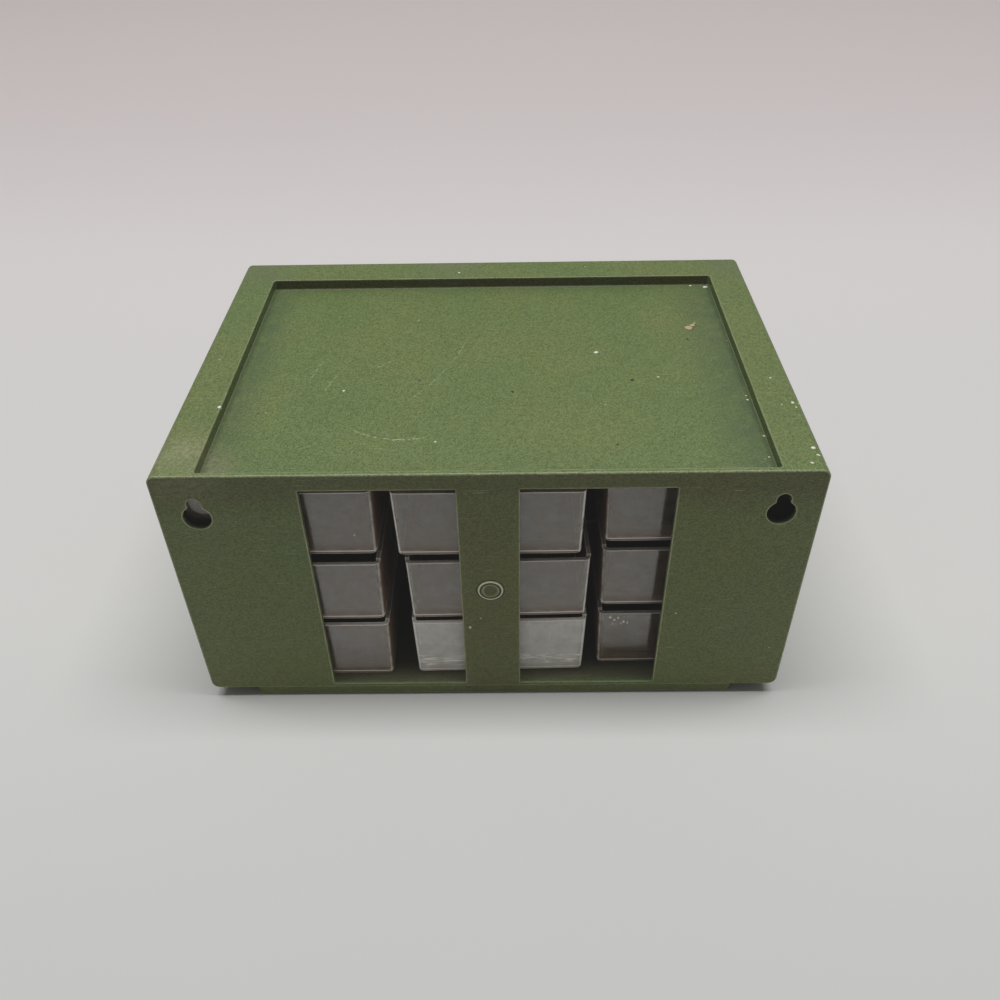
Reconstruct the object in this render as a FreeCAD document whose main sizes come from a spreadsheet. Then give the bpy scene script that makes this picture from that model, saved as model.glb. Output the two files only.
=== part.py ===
"""Small moulded parts cabinet for drill bits: a one-piece plastic housing that stacks or hangs on a wall, a
drawer frame pushed into its open front, and nine clear drawers in three columns and three rows.

Row frame: X to the right as seen from the front, -Y out of the front, +Z up. The origin is the middle of the
housing's width and depth, on the surface that its foot stands on. Sizes are millimetres.
"""

import FreeCAD, Part
import math
import os
import re

import Sketcher

# Driving dimensions. Each one is a cell of the sheet and is written only here.
SIZES = {
    # housing
    "case_width": 233.4,
    "case_depth": 164.0,
    "case_height": 116.8,
    "wall": 2.2,
    "case_corner_radius": 3.2,
    "back_bevel": 0.4,
    "front_bevel": 0.6,
    # stacking recess in the top, and the foot that stands in the recess of a cabinet below
    "side_rim": 16.3,
    "recess_depth": 4.6,
    "front_rim": 17.0,
    "back_lip": 2.1,
    "recess_corner_radius": 1.2,
    "foot_height": 5.4,
    "stack_side_gap": 1.5,
    "stack_front_gap": 1.9,
    "foot_inset": 0.7,
    "foot_wall": 2.2,
    "foot_rib": 1.8,
    "foot_corner_radius": 2.0,
    "foot_bevel": 0.8,
    # back panel: two full-height windows, two keyholes and the moulding's gate mark
    "centre_strip": 22.2,
    "side_panel": 51.0,
    "keyhole_inset": 14.1,
    "keyhole_drop": 18.5,
    "keyhole_head": 10.2,
    "keyhole_slot": 5.1,
    "keyhole_rise": 5.9,
    "gate_height": 61.3,
    "gate_ring": 9.3,
    "gate_disc": 5.6,
    "gate_relief": 0.4,
    # drawer frame
    "columns": 3,
    "rows": 3,
    "frame_depth": 100.0,
    "frame_wall": 1.6,
    "frame_base": 0.9,
    "frame_gap": 0.3,
    "frame_top_gap": 1.0,
    "bezel": 2.0,
    "bezel_set_back": 2.0,
    "stop_lip": 1.0,
    # drawers
    "drawer_wall": 1.6,
    "drawer_rim_gap": 1.2,
    "drawer_draft": 1.5,
    "drawer_corner_radius": 2.4,
    "drawer_bevel": 1.0,
    "drawer_inside_bevel": 0.6,
    "drawer_body_play": 2.3,
    "drawer_front_play": 0.5,
    "drawer_running_gap": 0.2,
    "drawer_front": 2.2,
    "drawer_front_lap": 0.6,
    "drawer_front_radius": 1.2,
    "drawer_top_gap": 0.2,
    "drawer_home_gap": 0.3,
    "drawer_set_back": 3.0,
    "drawer_slack": 0.2,
    "stop_lug_length": 4.0,
    "stop_lug_gap": 0.3,
    "stop_gap": 0.3,
    "pull_width": 32.0,
    "pull_reach": 7.5,
    "pull_wall": 1.8,
    "pull_top": 11.8,
    "pull_depth": 4.4,
    "pull_corner_radius": 4.0,
    "pull_bevel": 0.5,
    "card_width": 58.0,
    "card_top_gap": 3.5,
    "card_bottom": 14.0,
    "card_slot": 0.9,
    "card_rail": 1.0,
    "card_rail_lip": 1.6,
    "rib_width": 1.0,
    "rib_reach": 1.0,
    "rib_slot": 1.8,
    "rib_rim_gap": 3.0,
    "rib_stations": 2,
}

# Sizes that follow from the driving ones.
DERIVED = {
    "floor_top": "foot_height + wall",
    "roof_under": "case_height - recess_depth - wall",
    "rim_under": "case_height - wall",
    "inner_half": "case_width / 2 - wall",
    "front_y": "-case_depth / 2",
    "back_y": "case_depth / 2",
    "back_inside_y": "case_depth / 2 - wall",
    "foot_back_y": "case_depth / 2 - foot_inset",
    "recess_width": "case_width - 2 * side_rim",
    "foot_width": "recess_width - 2 * stack_side_gap",
    "foot_length": "case_depth - front_rim - back_lip - stack_front_gap",
    "foot_front_y": "foot_back_y - foot_length",
    "window_width": "(case_width - centre_strip) / 2 - side_panel",
    "window_middle": "centre_strip / 2 + window_width / 2",
    "keyhole_spacing": "case_width - 2 * keyhole_inset",
    "keyhole_height": "case_height - keyhole_drop",
    "bezel_front_y": "front_y + bezel_set_back",
    "frame_back_y": "bezel_front_y + frame_depth",
    "frame_half": "inner_half - frame_gap",
    "frame_top": "roof_under - frame_top_gap",
    "bezel_top": "rim_under - frame_gap",
    "cell_width": "(2 * frame_half - (columns + 1) * frame_wall) / columns",
    "cell_height": "(frame_top - floor_top - frame_base) / rows - frame_wall",
    "column_pitch": "cell_width + frame_wall",
    "row_pitch": "cell_height + frame_wall",
    "drawer_height": "cell_height - drawer_running_gap - drawer_rim_gap",
    "drawer_length": "case_depth - drawer_set_back - wall - drawer_home_gap",
    "body_half": "cell_width / 2 - drawer_body_play",
    "front_half": "cell_width / 2 - drawer_front_play",
    "front_height": "cell_height - stop_lip - drawer_running_gap - drawer_top_gap",
    "card_height": "front_height - card_bottom - card_top_gap",
    "lug_top": "cell_height - drawer_running_gap - stop_lug_gap",
    "draft_shift": "drawer_height * tan(drawer_draft)",
    "base_half": "body_half - draft_shift",
    "base_front_y": "drawer_front_lap + draft_shift",
    "base_back_y": "drawer_length - draft_shift",
    "lug_front_y": "drawer_length - drawer_corner_radius - stop_lug_length",
    "lug_back_y": "drawer_length - drawer_corner_radius",
    "inside_half": "base_half - drawer_wall + drawer_wall * tan(drawer_draft)",
    "inside_front_y": "base_front_y + drawer_wall - drawer_wall * tan(drawer_draft)",
    "inside_back_y": "base_back_y - drawer_wall + drawer_wall * tan(drawer_draft)",
    "rib_seat": "body_half - draft_shift / 2 - drawer_wall / 2",
    "rib_tip": "inside_half - rib_reach",
    "rib_pitch": "drawer_length / (rib_stations + 1)",
    "rib_start": "rib_pitch - rib_width - rib_slot / 2",
    # how far a loose drawer shifts and turns in its cell, and how far it comes out before its lugs meet the lip
    "side_play": "drawer_front_play - drawer_slack",
    "turn_play": "drawer_body_play - side_play - stop_gap",
    "neighbour_play": "frame_wall + 2 * drawer_front_play + side_play - stop_gap",
    "travel": "lug_front_y + drawer_set_back - bezel_set_back - bezel - stop_gap",
    "full_turn": "atan(min(turn_play / frame_depth; neighbour_play / travel)) / 1deg",
}

# The nine drawers, seen from the front. They lie loosely: each row gives the column and row counted from the
# bottom left, how far the drawer stands out from its home, its share of the sideways play (left is negative)
# and its share of the turn that the cell allows, which swings its back end to the left.
DRAWERS = {
    "drawer_top_left": (0, 2, 7.1, 0.0, 0.5),
    "drawer_top_middle": (1, 2, 0.4, 0.0, 0.0),
    "drawer_top_right": (2, 2, 1.2, 0.0, 0.0),
    "drawer_middle_left": (0, 1, 6.8, 0.0, 0.5),
    "drawer_middle_middle": (1, 1, 0.9, -1.0, 1.0),
    "drawer_middle_right": (2, 1, 0.0, 0.0, 0.0),
    "drawer_bottom_left": (0, 0, 6.1, 0.0, 0.6),
    "drawer_bottom_middle": (1, 0, 1.9, -1.0, 1.0),
    "drawer_bottom_right": (2, 0, 0.7, 0.0, 0.1),
}

doc = FreeCAD.newDocument("DrillBitCabinet")
sheet = doc.addObject("Spreadsheet::Sheet", "Sizes")
for row, (name, number) in enumerate(SIZES.items(), 1):
    sheet.set("A%d" % row, name)
    sheet.set("B%d" % row, str(number))
    sheet.setAlias("B%d" % row, name)
for row, (name, (column, level, out, side, turn)) in enumerate(DRAWERS.items(), len(SIZES) + 1):
    for cell, label, number in (("B", "out", out), ("C", "side", side), ("D", "turn", turn)):
        sheet.set("%s%d" % (cell, row), str(number))
        sheet.setAlias("%s%d" % (cell, row), "%s_%s" % (name, label))
doc.recompute()
rules = doc.addObject("App::VarSet", "Rules")


def bound(rule):
    """Writes a rule as an expression: each name gets the object that holds it."""
    def holder(match):
        word = match.group(0)
        if word in DERIVED:
            return "Rules." + word
        return "Sizes." + word if word in SIZES or word.startswith("drawer_") else word
    return re.sub(r"[A-Za-z_][A-Za-z_0-9]*", holder, rule)


for name, rule in DERIVED.items():
    rules.addProperty("App::PropertyFloat", name)
for name, rule in DERIVED.items():
    rules.setExpression(name, bound(rule))
doc.recompute()


def size(name):
    """Reads one size, driving or derived."""
    return float(getattr(rules if name in DERIVED else sheet, name))


def settle(body, made):
    """Makes a feature the body's last one, recomputes, and stops if it failed."""
    body.Tip = made
    doc.recompute()
    if "Invalid" in made.State or "Error" in made.State:
        raise RuntimeError("%s failed" % made.Name)
    return made


def plane(body, role):
    """Finds one of the body's own origin planes or axes."""
    return [item for item in body.Origin.OriginFeatures if item.Role == role][0]


def sketch(body, name, role, offset, outlines=(), circles=()):
    """Draws closed outlines and circles on an origin plane moved along its normal by a rule.

    An outline is a list of corners, each a pair of rules; a circle is a centre's two rules and its diameter's.
    Every corner, centre and diameter is a dimension bound to its rule.
    """
    drawing = body.newObject("Sketcher::SketchObject", "%s_%s_sketch" % (body.Name, name))
    drawing.AttachmentSupport = [(plane(body, role), "")]
    drawing.MapMode = "FlatFace"
    drawing.setExpression("AttachmentOffset.Base.z", bound(offset))

    def dimension(kind, element, point, rule):
        place = drawing.addConstraint(Sketcher.Constraint(kind, -1, 1, element, point, 1.0))
        drawing.setExpression("Constraints[%d]" % place, bound(rule))

    for corners in outlines:
        first = drawing.GeometryCount
        turn = 2 * math.pi / len(corners)
        ring = [FreeCAD.Vector(math.cos(turn * k), math.sin(turn * k)) for k in range(len(corners))]
        for k, point in enumerate(ring):
            drawing.addGeometry(Part.LineSegment(point, ring[(k + 1) % len(ring)]))
        for k in range(len(corners)):
            following = first + (k + 1) % len(corners)
            drawing.addConstraint(Sketcher.Constraint("Coincident", first + k, 2, following, 1))
        for k, (across, along) in enumerate(corners):
            dimension("DistanceX", first + k, 1, across)
            dimension("DistanceY", first + k, 1, along)
    for across, along, diameter in circles:
        element = drawing.addGeometry(Part.Circle(FreeCAD.Vector(), FreeCAD.Vector(0, 0, 1), 1.0))
        dimension("DistanceX", element, 3, across)
        dimension("DistanceY", element, 3, along)
        place = drawing.addConstraint(Sketcher.Constraint("Diameter", element, 2.0))
        drawing.setExpression("Constraints[%d]" % place, bound(diameter))
    return drawing


def box(left, right, low, high):
    """The four corners of a rectangle."""
    return [(left, low), (right, low), (right, high), (left, high)]


def pad(body, name, drawing, length, reverse=False, taper=None):
    """Raises a sketch along its normal, or against it, as far as a rule says; a taper widens it."""
    made = body.newObject("PartDesign::Pad", "%s_%s" % (body.Name, name))
    made.Profile = drawing
    made.setExpression("Length", bound(length))
    made.Reversed = reverse
    if taper:
        made.setExpression("TaperAngle", bound(taper))
    return settle(body, made)


def pocket(body, name, drawing, depth, reverse=False, taper=None):
    """Cuts a sketch against its normal, or along it, as deep as a rule says, and checks that it cut."""
    before = body.Shape.Volume
    made = body.newObject("PartDesign::Pocket", "%s_%s" % (body.Name, name))
    made.Profile = drawing
    made.setExpression("Length", bound(depth))
    made.Reversed = reverse
    if taper:
        made.setExpression("TaperAngle", bound(taper))
    settle(body, made)
    if body.Shape.Volume > before - 1.0:
        raise RuntimeError("%s cuts nothing" % made.Name)
    return made


def mirror(body, name, originals):
    """Repeats features on the other side of the body's middle plane."""
    made = body.newObject("PartDesign::Mirrored", "%s_%s" % (body.Name, name))
    made.Originals = originals
    made.MirrorPlane = (plane(body, "YZ_Plane"), [""])
    return settle(body, made)


def edges(body, test):
    """Names the edges of the body that pass a test of the places of their two ends and middle."""
    chosen = []
    for k, edge in enumerate(body.Shape.Edges, 1):
        first, last = edge.ParameterRange
        if test(edge.valueAt(first), edge.valueAt((first + last) / 2), edge.valueAt(last)):
            chosen.append("Edge%d" % k)
    if not chosen:
        raise RuntimeError("%s has no such edge" % body.Name)
    return chosen


def fillet(body, name, radius, test):
    """Rounds the edges that pass a test, to a radius that a rule gives."""
    chosen = edges(body, test)
    base = body.Tip
    made = body.newObject("PartDesign::Fillet", "%s_%s" % (body.Name, name))
    made.Base = (base, chosen)
    made.setExpression("Radius", bound(radius))
    return settle(body, made)


def chamfer(body, name, leg, test):
    """Bevels the edges that pass a test, as far from the edge as a rule says."""
    chosen = edges(body, test)
    base = body.Tip
    made = body.newObject("PartDesign::Chamfer", "%s_%s" % (body.Name, name))
    made.Base = (base, chosen)
    made.setExpression("Size", bound(leg))
    return settle(body, made)


def near(a, b):
    return abs(a - b) < 0.01


def all_at(axis, place):
    """A test for edges that lie wholly in the plane where one coordinate has the given value."""
    return lambda *places: all(near(getattr(p, axis), place) for p in places)


def along(axis, *checks):
    """A test for edges parallel to an axis whose first end passes each check."""
    others = [name for name in "xyz" if name != axis]

    def test(first, middle, last):
        level = all(near(getattr(first, name), getattr(last, name)) for name in others)
        return level and not near(getattr(first, axis), getattr(last, axis)) and all(c(first) for c in checks)
    return test


def housing():
    """One moulding: box, hollow rim round a stacking recess, hollow foot, and a back with two windows."""
    body = doc.addObject("PartDesign::Body", "case_shell")
    block = sketch(body, "block", "XZ_Plane", "-back_y", [
        box("-case_width / 2", "case_width / 2", "foot_height", "case_height")])
    pad(body, "block", block, "case_depth")
    half = size("case_width") / 2
    fillet(body, "long_edges", "case_corner_radius", along("y", lambda p: near(abs(p.x), half)))
    chamfer(body, "back_edges", "back_bevel", all_at("y", size("back_y")))
    chamfer(body, "front_edges", "front_bevel", all_at("y", size("front_y")))

    # The foot stands in the recess of the cabinet below. It is hollow, with a rib along and one across.
    foot = sketch(body, "foot", "XY_Plane", "0 * foot_height", [
        box("-foot_width / 2", "foot_width / 2", "foot_front_y", "foot_back_y")])
    pad(body, "foot", foot, "foot_height")
    foot_half = size("foot_width") / 2
    fillet(body, "foot_corners", "foot_corner_radius",
           along("z", lambda p: near(abs(p.x), foot_half) and p.z < size("foot_height") + 0.01))
    chamfer(body, "foot_edges", "foot_bevel", all_at("z", 0.0))
    cells = sketch(body, "foot_cells", "XY_Plane", "0 * foot_height", [
        box("foot_rib / 2", "foot_width / 2 - foot_wall", low, high)
        for low, high in (("foot_front_y + foot_wall", "foot_front_y + foot_length / 2 - foot_rib / 2"),
                          ("foot_front_y + foot_length / 2 + foot_rib / 2", "foot_back_y - foot_wall"))])
    foot_cells = pocket(body, "foot_cells", cells, "foot_height", reverse=True)
    mirror(body, "foot_cells_mirror", [foot_cells])

    recess = sketch(body, "recess", "XY_Plane", "case_height", [
        box("-recess_width / 2", "recess_width / 2", "front_y + front_rim", "back_y - back_lip")])
    pocket(body, "recess", recess, "recess_depth")
    recess_half = size("recess_width") / 2
    recess_low = size("case_height") - size("recess_depth")
    fillet(body, "recess_corners", "recess_corner_radius",
           along("z", lambda p: near(abs(p.x), recess_half) and p.z > recess_low - 0.01))

    # The inside follows the outside one wall away, so it runs up into the rim at the sides and the front.
    inside = sketch(body, "inside", "XZ_Plane", "-front_y", [[
        ("-inner_half", "floor_top"), ("inner_half", "floor_top"), ("inner_half", "rim_under"),
        ("recess_width / 2 + wall", "rim_under"), ("recess_width / 2 + wall", "roof_under"),
        ("-recess_width / 2 - wall", "roof_under"), ("-recess_width / 2 - wall", "rim_under"),
        ("-inner_half", "rim_under")]])
    pocket(body, "inside", inside, "case_depth - wall")
    front = sketch(body, "front_rim", "XZ_Plane", "-front_y", [
        box("-recess_width / 2 - wall", "recess_width / 2 + wall", "roof_under", "rim_under")])
    pocket(body, "front_rim", front, "front_rim - wall")

    # Back panel: windows, keyholes with the round head below, and the ring that the moulding's gate leaves.
    window = sketch(body, "window", "XZ_Plane", "-back_inside_y", [
        box("window_middle - window_width / 2", "window_middle + window_width / 2", "floor_top", "roof_under")])
    head = sketch(body, "key_head", "XZ_Plane", "-back_inside_y", circles=[
        ("keyhole_spacing / 2", "keyhole_height", "keyhole_head")])
    slot = sketch(body, "key_slot", "XZ_Plane", "-back_inside_y", [
        box("keyhole_spacing / 2 - keyhole_slot / 2", "keyhole_spacing / 2 + keyhole_slot / 2",
            "keyhole_height", "keyhole_height + keyhole_rise")])
    end = sketch(body, "key_end", "XZ_Plane", "-back_inside_y", circles=[
        ("keyhole_spacing / 2", "keyhole_height + keyhole_rise", "keyhole_slot")])
    holes = [pocket(body, name, drawing, "wall")
             for name, drawing in (("window", window), ("key_head", head), ("key_slot", slot), ("key_end", end))]
    mirror(body, "back_mirror", holes)
    ring = sketch(body, "gate_ring", "XZ_Plane", "-back_y - gate_relief", circles=[
        ("0 * wall", "gate_height", "gate_ring"), ("0 * wall", "gate_height", "gate_disc")])
    pad(body, "gate_ring", ring, "gate_relief")
    return body


def frame():
    """The moulding pushed into the open front: a shelf and a side wall round each drawer, and a bezel."""
    body = doc.addObject("PartDesign::Body", "drawer_frame")
    block = sketch(body, "block", "XZ_Plane", "-frame_back_y", [
        box("-frame_half", "frame_half", "floor_top", "frame_top")])
    pad(body, "block", block, "frame_depth")
    upper = sketch(body, "bezel", "XZ_Plane", "-bezel_front_y - bezel", [
        box("-frame_half", "frame_half", "frame_top", "bezel_top")])
    pad(body, "bezel", upper, "bezel")

    # A cell behind the bezel is taller than its opening, so that a lip at the top stops the drawer's lugs.
    left = "-frame_half + frame_wall"
    low = "floor_top + frame_base"
    cell = sketch(body, "cell", "XZ_Plane", "-bezel_front_y - bezel", [
        box(left, left + " + cell_width", low, low + " + cell_height")])
    opening = sketch(body, "opening", "XZ_Plane", "-bezel_front_y", [
        box(left, left + " + cell_width", low, low + " + cell_height - stop_lip")])
    cuts = [pocket(body, "cell", cell, "frame_depth - bezel"),
            pocket(body, "opening", opening, "bezel")]
    grid = body.newObject("PartDesign::LinearPattern", "drawer_frame_grid")
    grid.Originals = cuts
    grid.Direction = (plane(body, "X_Axis"), [""])
    grid.Direction2 = (plane(body, "Z_Axis"), [""])
    grid.Mode = "Extent"
    grid.Mode2 = "Extent"
    grid.setExpression("Length", bound("column_pitch * (columns - 1)"))
    grid.setExpression("Length2", bound("row_pitch * (rows - 1)"))
    grid.setExpression("Occurrences", bound("columns"))
    grid.setExpression("Occurrences2", bound("rows"))
    settle(body, grid)
    return body


def drawer(name, column, row):
    """A clear tray with drafted walls, its front with a finger pull and card rails, and two stop lugs.

    Its own frame has its origin at the middle of the front's lower edge, +Y into the housing.
    """
    body = doc.addObject("PartDesign::Body", name)
    height = size("drawer_height")
    tray = sketch(body, "tray", "XY_Plane", "0 * wall", [
        box("-base_half", "base_half", "base_front_y", "base_back_y")])
    pad(body, "tray", tray, "drawer_height", taper="drawer_draft")
    fillet(body, "tray_corners", "drawer_corner_radius",
           lambda first, middle, last: near(abs(first.z - last.z), height) and middle.y > size("rib_start"))
    chamfer(body, "tray_edges", "drawer_bevel",
            lambda *places: all(near(p.z, 0.0) for p in places)
            and not near(places[1].y, size("base_front_y")))
    inside = sketch(body, "inside", "XY_Plane", "drawer_wall", [
        box("-inside_half", "inside_half", "inside_front_y", "inside_back_y")])
    pocket(body, "inside", inside, "drawer_height - drawer_wall", reverse=True, taper="drawer_draft")
    floor = size("drawer_wall")
    chamfer(body, "inside_corners", "drawer_inside_bevel",
            lambda first, middle, last: near(min(first.z, last.z), floor) and near(max(first.z, last.z), height))

    panel = sketch(body, "front", "XZ_Plane", "-drawer_front", [
        box("-front_half", "front_half", "0 * wall", "front_height")])
    pad(body, "front", panel, "drawer_front")
    fillet(body, "front_corners", "drawer_front_radius",
           lambda first, middle, last: near(abs(middle.x), size("front_half"))
           and near(abs(first.y - last.y), size("drawer_front")))

    # The pull is a hood: a ledge with its edge turned down all round, open below.
    pull = sketch(body, "pull", "XY_Plane", "pull_top", [
        box("-pull_width / 2", "pull_width / 2", "-pull_reach", "0 * wall")])
    pad(body, "pull", pull, "pull_depth", reverse=True)
    reach = size("pull_reach")
    fillet(body, "pull_corners", "pull_corner_radius",
           along("z", lambda p: near(p.y, -reach)))
    hood = sketch(body, "hood", "XY_Plane", "pull_top - pull_wall", [
        box("-pull_width / 2 + pull_wall", "pull_width / 2 - pull_wall", "-pull_reach + pull_wall", "0 * wall")])
    pocket(body, "hood", hood, "pull_depth - pull_wall")
    fillet(body, "hood_corners", "pull_corner_radius - pull_wall",
           along("z", lambda p: near(p.y, -reach + size("pull_wall"))))
    chamfer(body, "pull_edges", "pull_bevel",
            lambda *places: all(near(p.z, size("pull_top")) and p.y < 0.01 for p in places)
            and places[1].y < -0.01)

    # Two hooked rails hold a card against the front.
    rail = sketch(body, "rail", "XY_Plane", "card_bottom", [[
        ("card_width / 2", "0 * wall"), ("card_width / 2 + card_rail", "0 * wall"),
        ("card_width / 2 + card_rail", "-card_slot - card_rail"),
        ("card_width / 2 + card_rail - card_rail_lip", "-card_slot - card_rail"),
        ("card_width / 2 + card_rail - card_rail_lip", "-card_slot"),
        ("card_width / 2", "-card_slot")]])
    rails = pad(body, "rail", rail, "card_height")
    mirror(body, "rail_mirror", [rails])

    # Pairs of ribs hold a divider across the tray.
    sides = (("rib_tip", "rib_seat"), ("-rib_seat", "-rib_tip"))
    steps = (("rib_start", "rib_start + rib_width"),
             ("rib_start + rib_width + rib_slot", "rib_start + 2 * rib_width + rib_slot"))
    rib = sketch(body, "ribs", "XY_Plane", "drawer_wall", [
        box(left, right, low, high) for left, right in sides for low, high in steps])
    ribs = pad(body, "ribs", rib, "drawer_height - drawer_wall - rib_rim_gap")
    stations = body.newObject("PartDesign::LinearPattern", name + "_stations")
    stations.Originals = [ribs]
    stations.Direction = (plane(body, "Y_Axis"), [""])
    stations.Mode = "Extent"
    stations.setExpression("Length", bound("rib_pitch * (rib_stations - 1)"))
    stations.setExpression("Occurrences", bound("rib_stations"))
    settle(body, stations)

    # The lugs stand on the rims of the side walls and meet the lip of the cell.
    lug = sketch(body, "lugs", "XY_Plane", "drawer_height", [
        box("body_half - drawer_wall", "body_half", "lug_front_y", "lug_back_y"),
        box("-body_half", "drawer_wall - body_half", "lug_front_y", "lug_back_y")])
    pad(body, "lugs", lug, "lug_top - drawer_height")

    across = "-frame_half + frame_wall + cell_width / 2 + %d * column_pitch" % column
    up = "floor_top + frame_base + drawer_running_gap + %d * row_pitch" % row
    body.setExpression("Placement.Base.x", bound("%s + %s_side * side_play" % (across, name)))
    body.setExpression("Placement.Base.y", bound("front_y + drawer_set_back - %s_out" % name))
    body.setExpression("Placement.Base.z", bound(up))
    body.setExpression("Placement.Rotation.Axis.z", "1")
    body.setExpression("Placement.Rotation.Angle", bound("%s_turn * full_turn" % name))
    doc.recompute()
    return body


housing()
frame()
for name, (column, row, *attitude) in DRAWERS.items():
    drawer(name, column, row)
doc.recompute()

for item in doc.Objects:
    if "Invalid" in item.State or "Error" in item.State:
        raise RuntimeError("%s is in error" % item.Name)
os.makedirs("parts", exist_ok=True)
for item in doc.Objects:
    if item.TypeId == "PartDesign::Body":
        if item.Shape.isNull() or not item.Shape.isValid() or len(item.Shape.Solids) != 1:
            raise RuntimeError("%s is not one sound solid" % item.Label)
        item.Shape.exportStep("parts/%s.step" % item.Label)
        print(item.Label, round(item.Shape.Volume, 1))
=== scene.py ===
"""Drill bit cabinet: a green moulded housing seen from behind, with clear drawers in its back windows.

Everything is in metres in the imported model's frame: +Y is out of the cabinet's back, +Z is up, and the
origin is the middle of the housing on the surface that its foot stands on. Sizes and places are written in
millimetres, and MM turns them into metres where they are used.
"""

import math

import bpy
import numpy as np
from mathutils import Matrix, Vector


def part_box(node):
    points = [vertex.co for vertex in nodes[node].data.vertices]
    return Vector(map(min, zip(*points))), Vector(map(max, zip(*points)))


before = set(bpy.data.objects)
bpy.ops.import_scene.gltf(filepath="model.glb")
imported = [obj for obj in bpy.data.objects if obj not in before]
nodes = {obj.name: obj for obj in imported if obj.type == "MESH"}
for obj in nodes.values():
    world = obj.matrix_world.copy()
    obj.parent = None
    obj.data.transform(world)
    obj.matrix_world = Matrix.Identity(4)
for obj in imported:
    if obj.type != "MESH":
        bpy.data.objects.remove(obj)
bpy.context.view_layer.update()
scene = bpy.context.scene
MM = 0.001


# --------------------------------------------------------------------------------------------------
# Camera
# --------------------------------------------------------------------------------------------------

def camera(place, yaw, pitch, roll, focal):
    """Stands a camera behind the cabinet, looking along -Y, then turned by yaw, pitch (down) and roll."""
    level = math.cos(pitch)
    forward = Vector((-math.sin(yaw) * level, -math.cos(yaw) * level, -math.sin(pitch)))
    right = Vector((-math.cos(yaw), math.sin(yaw), 0.0))
    down = forward.cross(right)
    across = math.cos(roll) * right + math.sin(roll) * down
    below = math.cos(roll) * down - math.sin(roll) * right
    data = bpy.data.cameras.new("camera")
    data.sensor_width = 36.0
    data.lens = focal
    data.clip_start = 0.01
    data.clip_end = 50.0
    made = bpy.data.objects.new("camera", data)
    turned = Matrix((across, -below, -forward)).transposed().to_4x4()
    made.matrix_world = Matrix.Translation(place) @ turned
    scene.collection.objects.link(made)
    scene.camera = made


camera(Vector((-7.68, 327.50, 308.06)) * MM, yaw=-0.0141, pitch=0.6902, roll=0.0187, focal=33.121)


# --------------------------------------------------------------------------------------------------
# Places that the finishes line up with
# --------------------------------------------------------------------------------------------------

DRAWERS = [name for name in nodes if name.startswith("drawer_") and name != "drawer_frame"]
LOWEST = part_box("drawer_bottom_middle")[0].z / MM         # underside of the lowest drawers
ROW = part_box("drawer_middle_middle")[0].z / MM - LOWEST   # from one row of drawers to the next

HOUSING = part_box("case_shell")[1] / MM
SIDE = HOUSING.x                     # outer face of a side panel
RIM = HOUSING.z                      # top of the rim
RECESS = RIM - 4.6                   # floor of the recess in the top
PANEL = HOUSING.y - 0.4              # back panel, a little behind the face of the gate ring
GATE = (0.0, HOUSING.y, 61.3)        # middle of the gate ring

# A box a little smaller than the housing: the faces of the housing that lie in it look inwards.
SKIN = 2.0
INSIDE_TOP = RECESS - SKIN
INSIDE_BOTTOM = 7.4
INSIDE_MIDDLE = (0.0, 0.0, (INSIDE_TOP + INSIDE_BOTTOM) / 2)
INSIDE_HALF = (SIDE - SKIN, PANEL - SKIN, (INSIDE_TOP - INSIDE_BOTTOM) / 2)

# Dried flecks, pits, and one stuck crumb with a painted shadow round it: place and radius of each.
PALE_FLECKS = [
    (-43.9, -5.3, RECESS, 0.95), (57.1, 22.1, RECESS, 0.6), (-98.6, -62.8, RECESS, 1.1),
    (-92.0, -64.3, RECESS, 0.6), (-67.0, 14.4, RECESS, 0.45), (19.3, 56.6, RECESS, 0.5),
    (-100.1, 55.3, RECESS, 0.6), (100.8, 39.5, RIM - 0.2, 1.0), (-113.2, 68.9, RIM, 0.9),
    (-114.0, 73.2, RIM - 0.4, 0.7), (-113.0, 40.7, RIM, 0.8), (14.9, -71.1, RIM, 0.6),
    (8.4, PANEL, 41.1, 0.7), (-71.1, PANEL, 48.1, 0.4)]
PITS = [
    (-56.4, 16.6, RECESS, 1.0), (72.4, 78.7, RIM, 0.7), (-46.6, 59.5, RECESS, 0.6),
    (-9.1, 24.3, RECESS, 0.7), (27.9, 14.8, RECESS, 0.6), (-83.2, -14.9, RECESS, 0.7),
    (38.1, -5.1, RECESS, 0.5), (42.9, 18.2, RECESS, 0.5), (87.7, 37.5, RECESS, 0.5)]
CRUMB_SHADOW = [(-85.4, -24.6, RECESS, 2.5), (-87.4, -27.0, RECESS, 1.7)]
CRUMB = [(-85.2, -24.9, RECESS, 1.9), (-87.2, -27.2, RECESS, 1.2), (-88.2, -28.6, RECESS, 0.7)]
MARKS = [("#dfe0cf", PALE_FLECKS), ("#232818", PITS), ("#46523a", CRUMB_SHADOW), ("#b3a37c", CRUMB)]

# Brown and khaki smudges near the corners: place, radius and colour.
SMUDGES = [
    (108.0, -76.0, RIM, 24.0, "#666a54"), (106.0, 70.0, RIM, 20.0, "#8c8b6a"),
    (96.0, 74.0, RECESS, 12.0, "#77775c"), (-112.0, -76.0, RIM, 22.0, "#646854"),
    (20.0, -79.0, RIM, 20.0, "#6c6f58")]

# Crowds of small pale specks: place and radius of each crowd.
CROWDS = [
    (-113.5, 72.0, RIM - 0.8, 9.0), (-112.5, 42.0, RIM, 7.0), (-112.0, 22.0, RIM, 5.0),
    (-99.0, 30.0, RECESS, 4.0), (-99.5, -12.0, RECESS, 4.0), (-98.0, 66.0, RECESS + 1.8, 5.0),
    (7.5, PANEL, 43.5, 5.0), (102.5, 40.0, RIM, 3.0)]

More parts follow.
